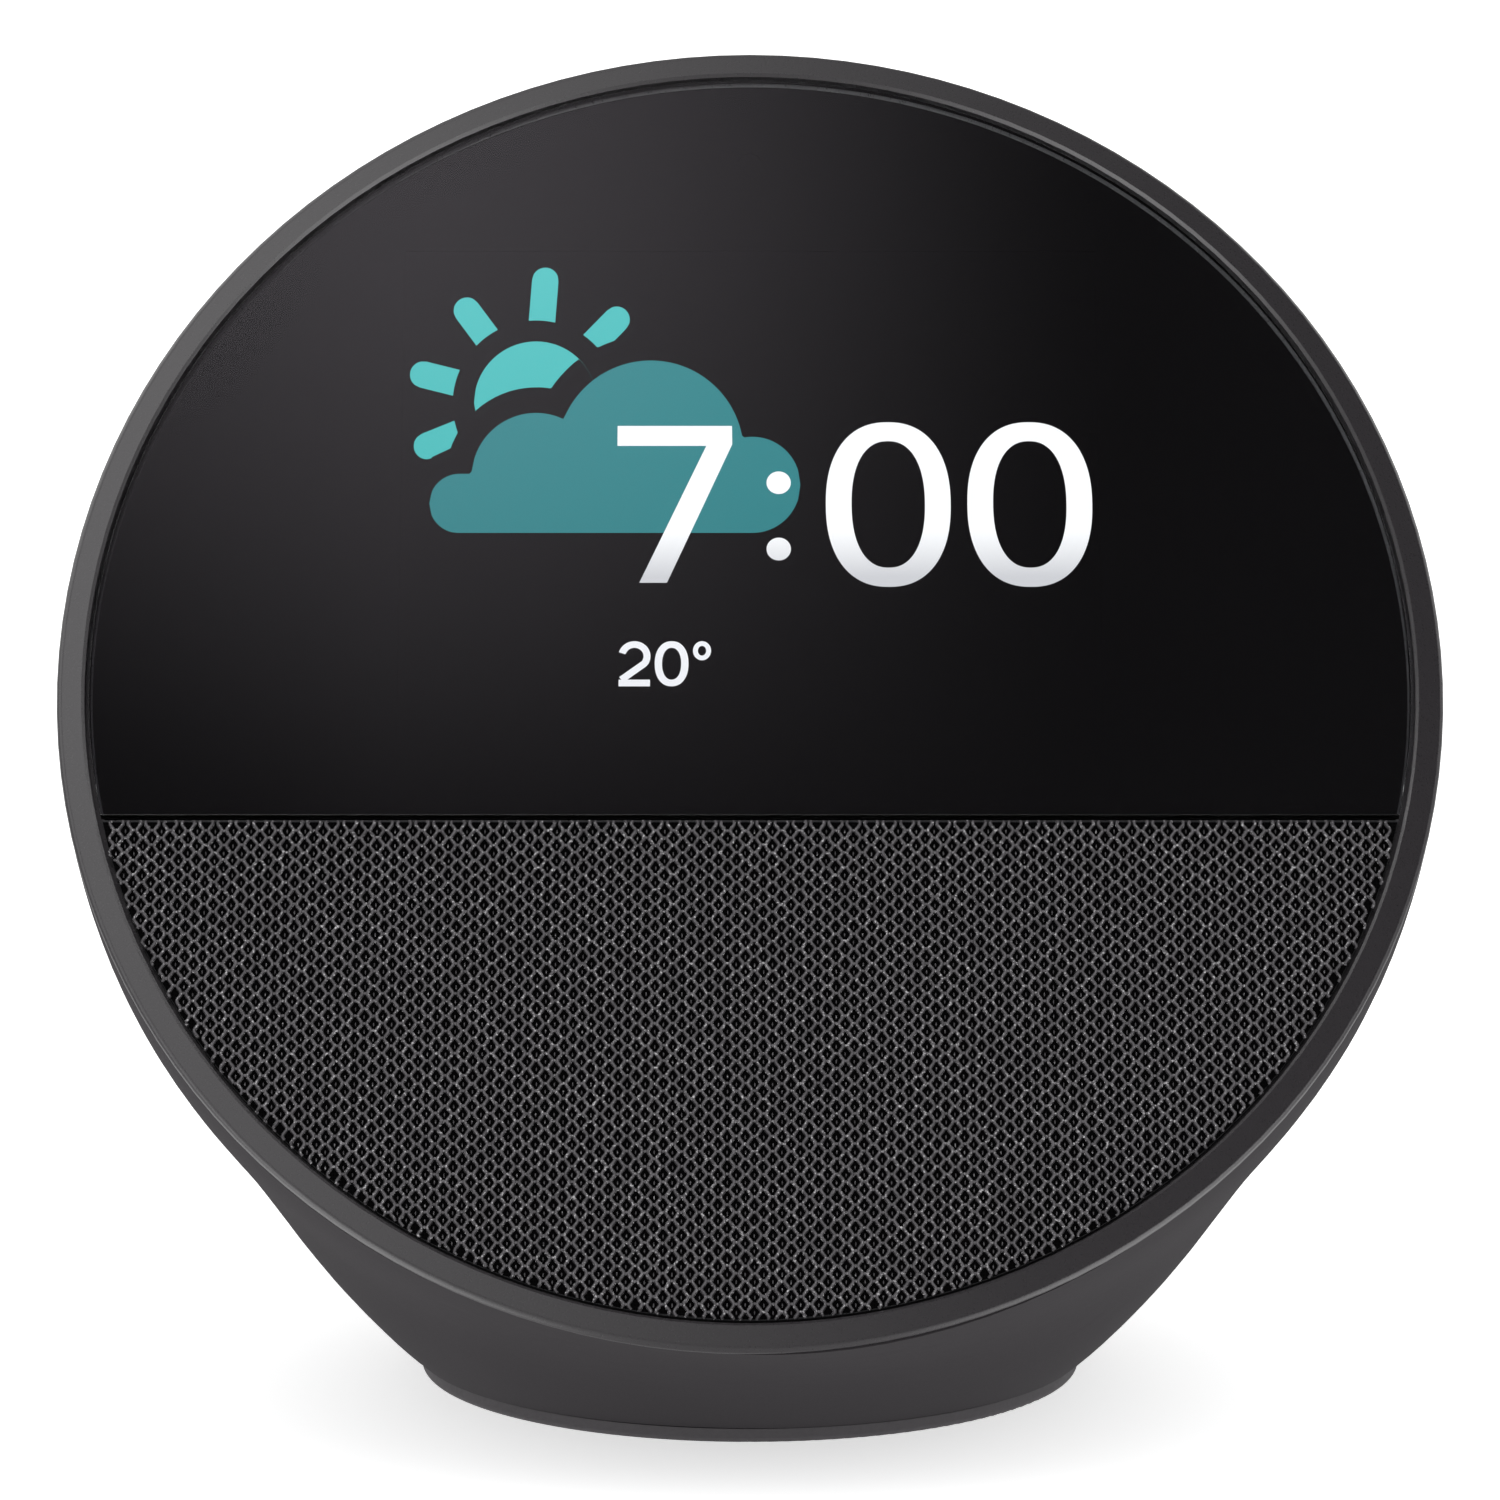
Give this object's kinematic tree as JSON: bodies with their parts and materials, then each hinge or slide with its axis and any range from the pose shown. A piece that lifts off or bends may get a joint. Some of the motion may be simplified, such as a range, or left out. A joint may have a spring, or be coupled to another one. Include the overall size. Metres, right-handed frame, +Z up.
{
  "type": "smart display",
  "caption": "Small smart display: round face leaning back, colour screen above a mesh grille, on a rounded dome body with buttons on top and a power inlet at the rear.",
  "frame": {"origin": "centre of the foot pad's underside, on the surface the display stands on", "axes": "+Z up; -Y is the front: the face looks towards -Y and leans back 29 degrees; +Y points to the rear, +X to the viewer's right of the face"},
  "size_m": [0.113, 0.103, 0.111],
  "materials": {
    "charcoal_plastic": "fine matte charcoal",
    "black_plastic": "matte black",
    "screw_steel": "black zinc",
    "dark_rubber": "matte",
    "cover_glass": "clear, polished",
    "black_film": "opaque black film",
    "touch_film": "clear film, laminated",
    "lcd_panel": "glossy, dark when off",
    "backlight": "white diffuser stack",
    "steel_sheet": "satin sheet",
    "amber_flex": "amber polyimide",
    "grille_fabric": "dark knitted mesh",
    "circuit_board": "green solder mask",
    "chip_black": "moulded black",
    "ivory_plastic": "satin ivory",
    "thermal_pad": "grey silicone",
    "raw_aluminium": "bead blasted",
    "black_foam": "closed-cell foam",
    "plated_steel": "zinc plated",
    "magnet_black": "sintered ferrite",
    "copper_coil": "enamelled copper",
    "paper_cone": "coated paper",
    "spider_cloth": "resin-dipped cloth",
    "wire_red": "insulated wire",
    "nickel_brass": "nickel plated",
    "button_plastic": "fine matte charcoal"
  },
  "bodies": {
    "display": {"rear_housing": "charcoal_plastic", "base_plate": "black_plastic", "base_screws": "screw_steel", "foot_pad": "dark_rubber", "bezel_ring": "charcoal_plastic", "cover_glass": "cover_glass", "glass_adhesive": "black_film", "touch_film": "touch_film", "lcd_panel": "lcd_panel", "lcd_backlight": "backlight", "lcd_frame": "steel_sheet", "display_flex": "amber_flex", "light_sensor": "black_plastic", "grille_panel": "black_plastic", "grille_fabric": "grille_fabric", "front_chassis": "black_plastic", "bezel_screws": "screw_steel", "chassis_screws": "screw_steel", "main_board": "circuit_board", "board_parts": "chip_black", "board_connectors": "ivory_plastic", "soc_shield": "steel_sheet", "radio_shield": "steel_sheet", "wifi_antennas": "steel_sheet", "thermal_pad": "thermal_pad", "heat_spreader": "raw_aluminium", "board_screws": "screw_steel", "acoustic_seal": "black_foam", "speaker_gasket": "black_foam", "speaker_basket": "black_plastic", "speaker_top_plate": "plated_steel", "speaker_magnet": "magnet_black", "speaker_yoke": "plated_steel", "speaker_surround": "dark_rubber", "speaker_spider": "spider_cloth", "speaker_terminal": "ivory_plastic", "speaker_screws": "screw_steel", "speaker_enclosure": "black_plastic", "speaker_wires": "wire_red", "button_bracket": "black_plastic", "button_board": "circuit_board", "switch_bodies": "black_plastic", "microphones": "plated_steel", "microphone_boots": "dark_rubber", "button_screws": "screw_steel", "button_flex": "amber_flex", "dc_jack": "black_plastic", "dc_jack_pin": "nickel_brass", "power_board": "circuit_board", "power_screws": "screw_steel", "power_harness": "wire_red"},
    "volume_down": {"volume_down_button": "button_plastic", "volume_down_plunger": "ivory_plastic"},
    "microphone_mute": {"microphone_mute_button": "button_plastic", "microphone_mute_plunger": "ivory_plastic"},
    "volume_up": {"volume_up_button": "button_plastic", "volume_up_plunger": "ivory_plastic"},
    "cone": {"speaker_cone": "paper_cone", "speaker_dust_cap": "paper_cone", "speaker_coil": "copper_coil"}
  },
  "joints": [
    {"name": "volume_down_press", "type": "slide", "parent": "display", "child": "volume_down", "axis": [0, -0.6194, -0.7851], "range_m": [0, 0.0005], "stiffness_N_per_m": 2000},
    {"name": "microphone_mute_press", "type": "slide", "parent": "display", "child": "microphone_mute", "axis": [0, -0.6194, -0.7851], "range_m": [0, 0.0005], "stiffness_N_per_m": 2000},
    {"name": "volume_up_press", "type": "slide", "parent": "display", "child": "volume_up", "axis": [0, -0.6194, -0.7851], "range_m": [0, 0.0005], "stiffness_N_per_m": 2000},
    {"name": "cone_stroke", "type": "slide", "parent": "display", "child": "cone", "axis": [0, -0.8746, 0.4848], "range_m": [-0.001, 0.001], "stiffness_N_per_m": 1150, "deforming": ["speaker_surround", "speaker_spider"]}
  ]
}
